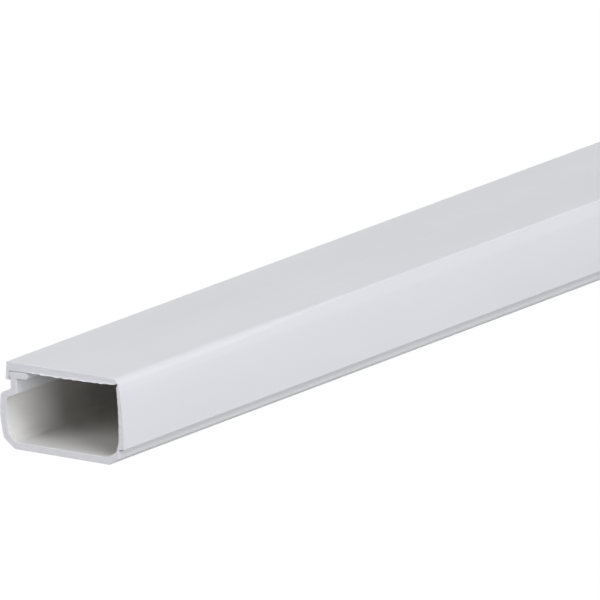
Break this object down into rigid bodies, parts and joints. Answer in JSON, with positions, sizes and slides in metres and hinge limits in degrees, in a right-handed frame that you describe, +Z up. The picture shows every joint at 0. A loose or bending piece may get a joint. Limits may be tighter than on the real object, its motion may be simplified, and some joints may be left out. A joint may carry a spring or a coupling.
{
  "type": "cord cover raceway",
  "caption": "Hollow plastic cord cover raceway: a flat-backed base channel with a cover that folds open along one edge and snaps over a flange along the other.",
  "frame": {"origin": "middle of the length and of the width, on the plane of the flat back", "axes": "+X along the length, +Y towards the latch side, +Z up out of the back towards the cover"},
  "size_m": [0.4, 0.024, 0.014],
  "materials": {
    "base_plastic": "extruded rigid vinyl, off-white, satin, with plain sawn ends",
    "cover_plastic": "extruded rigid vinyl, off-white, satin, with plain sawn ends"
  },
  "bodies": {
    "base": {"base_channel": "base_plastic"},
    "lid": {"cover": "cover_plastic"}
  },
  "joints": [
    {"name": "cover_fold", "type": "hinge", "parent": "base", "child": "lid", "pos_m": [0, -0.0107, 0.00242], "axis": [1, 0, 0], "range_deg": [0, 90]}
  ]
}
